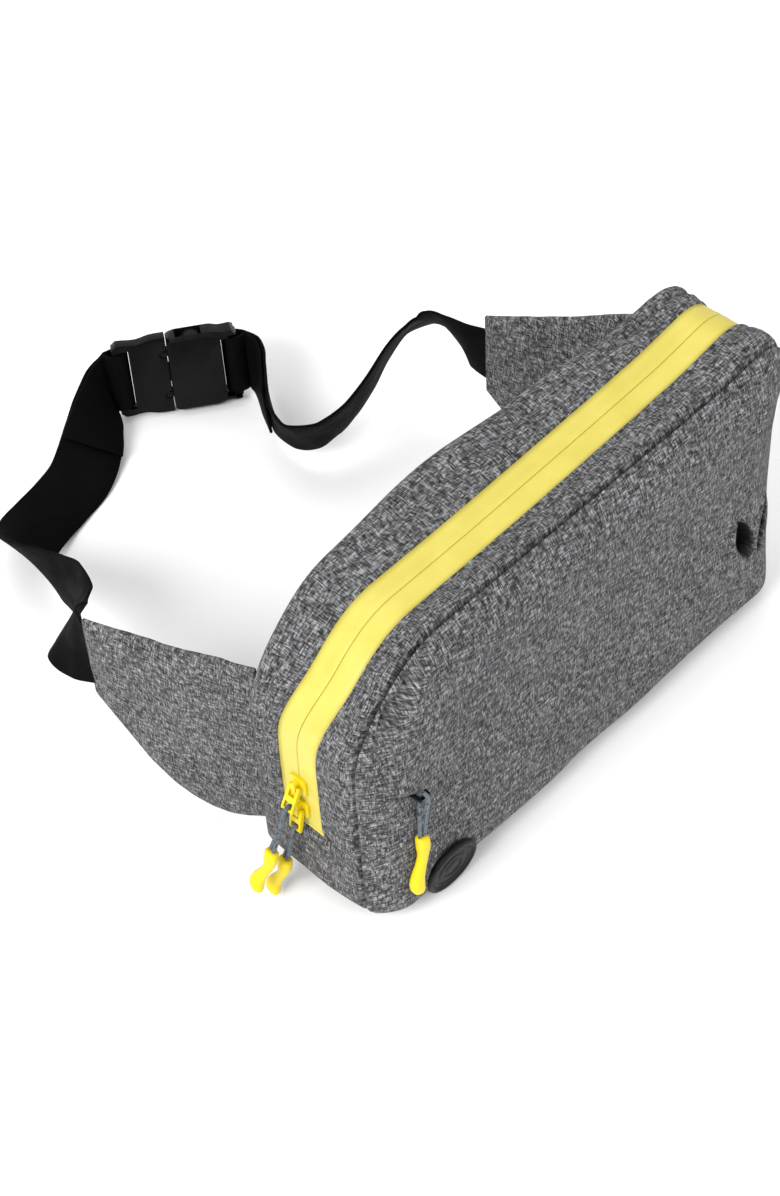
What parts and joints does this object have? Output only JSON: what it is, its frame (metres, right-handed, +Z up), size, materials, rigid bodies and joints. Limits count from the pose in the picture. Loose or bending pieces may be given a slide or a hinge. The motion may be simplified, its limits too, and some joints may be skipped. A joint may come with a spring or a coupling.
{
  "type": "waist pack",
  "caption": "Zipped waist pack with a padded back and wings, a front pocket, corded zip pulls and a webbing belt closed by a side-release buckle.",
  "frame": {"origin": "centre of the bag's bottom face", "axes": "+X along the bag, +Y towards the wearer's back and the belt, +Z up; the bag's front faces -Y"},
  "size_m": [0.3472, 0.3965, 0.174],
  "materials": {
    "heather_fabric": "woven melange, matte",
    "lining_fabric": "plain weave, matte",
    "foam": "closed-cell foam, matte",
    "zip_tape_coated": "coated tape, satin",
    "zip_coil": "satin",
    "pocket_zip": "matte",
    "slider_lacquer": "satin lacquer",
    "pocket_slider_metal": "satin lacquer",
    "pull_cord": "braided, matte",
    "pull_grip": "satin, soft-touch moulding",
    "webbing": "ribbed weave, matte",
    "buckle_plastic": "satin moulding",
    "badge_rubber": "matte"
  },
  "bodies": {
    "bag": {"base_gusset": "heather_fabric", "rear_gusset": "heather_fabric", "front_gusset": "heather_fabric", "back_panel": "heather_fabric", "back_pad_cover": "heather_fabric", "back_pad_foam": "foam", "front_panel": "heather_fabric", "pocket_divider": "lining_fabric", "pocket_lining": "lining_fabric", "rear_zip_tape": "zip_tape_coated", "front_zip_tape": "zip_tape_coated", "rear_zip_coil": "zip_coil", "front_zip_coil": "zip_coil", "zip_end_tabs": "zip_tape_coated", "upper_pocket_tape": "pocket_zip", "lower_pocket_tape": "pocket_zip", "badge": "badge_rubber", "right_webbing": "webbing", "right_webbing_loop": "webbing", "right_webbing_tail": "webbing", "buckle_socket": "buckle_plastic"},
    "left_arm": {"left_wing_cover": "heather_fabric", "left_wing_foam": "foam", "left_webbing": "webbing", "left_webbing_loop": "webbing", "left_webbing_tail": "webbing", "buckle_plug": "buckle_plastic"},
    "top_prong": {"top_prong": "buckle_plastic"},
    "bottom_prong": {"bottom_prong": "buckle_plastic"},
    "right_wing": {"right_wing_cover": "heather_fabric", "right_wing_foam": "foam"},
    "upper_slider": {"upper_slider": "slider_lacquer"},
    "upper_puller": {"upper_puller": "slider_lacquer"},
    "upper_pull": {"upper_cord": "pull_cord", "upper_grip": "pull_grip"},
    "lower_slider": {"lower_slider": "slider_lacquer"},
    "lower_puller": {"lower_puller": "slider_lacquer"},
    "lower_pull": {"lower_cord": "pull_cord", "lower_grip": "pull_grip"},
    "pocket_slider": {"pocket_slider": "pocket_slider_metal"},
    "pocket_pull": {"pocket_cord": "pull_cord", "pocket_grip": "pull_grip"}
  },
  "joints": [
    {"name": "left_arm_swing", "type": "hinge", "parent": "bag", "child": "left_arm", "pos_m": [-0.151, 0.039, 0.08], "axis": [0, 0, 1], "range_deg": [0, 75]},
    {"name": "top_prong_press", "type": "hinge", "parent": "left_arm", "child": "top_prong", "pos_m": [0.0372, 0.31604, 0.04109], "axis": [0.5703, 0.8029, -0.1736], "range_deg": [0, 10], "stiffness_Nm_per_rad": 0.5},
    {"name": "bottom_prong_press", "type": "hinge", "parent": "left_arm", "child": "bottom_prong", "pos_m": [0.03438, 0.31207, 0.01351], "axis": [-0.5703, -0.8029, 0.1736], "range_deg": [0, 10], "stiffness_Nm_per_rad": 0.5},
    {"name": "right_wing_flex", "type": "hinge", "parent": "bag", "child": "right_wing", "pos_m": [0.151, 0.039, 0.08], "axis": [0, 0, 1], "range_deg": [-10, 10], "deforming": ["right_webbing"]},
    {"name": "upper_slider_run", "type": "slide", "parent": "bag", "child": "upper_slider", "axis": [0, 0, 1], "range_m": [0, 0.024]},
    {"name": "upper_puller_swing", "type": "hinge", "parent": "upper_slider", "child": "upper_puller", "pos_m": [-0.162, 0.003, 0.084], "axis": [0, 1, 0], "range_deg": [0, 90]},
    {"name": "upper_pull_swing", "type": "hinge", "parent": "upper_puller", "child": "upper_pull", "pos_m": [-0.1681, 0.003, 0.07252], "axis": [0, 1, 0], "range_deg": [0, 60]},
    {"name": "lower_slider_run", "type": "slide", "parent": "bag", "child": "lower_slider", "axis": [0, 0, 1], "range_m": [0, 0.004]},
    {"name": "lower_puller_swing", "type": "hinge", "parent": "lower_slider", "child": "lower_puller", "pos_m": [-0.162, 0.003, 0.067], "axis": [0, 1, 0], "range_deg": [0, 4]},
    {"name": "lower_pull_swing", "type": "hinge", "parent": "lower_puller", "child": "lower_pull", "pos_m": [-0.16426, 0.003, 0.0542], "axis": [0, 1, 0], "range_deg": [0, 8]},
    {"name": "pocket_slider_run", "type": "slide", "parent": "bag", "child": "pocket_slider", "axis": [-0.7422, 0, 0.6701], "range_m": [0, 0.018]},
    {"name": "pocket_pull_swing", "type": "hinge", "parent": "pocket_slider", "child": "pocket_pull", "pos_m": [-0.128, -0.05, 0.089], "axis": [-1, 0, 0], "range_deg": [0, 90]}
  ]
}
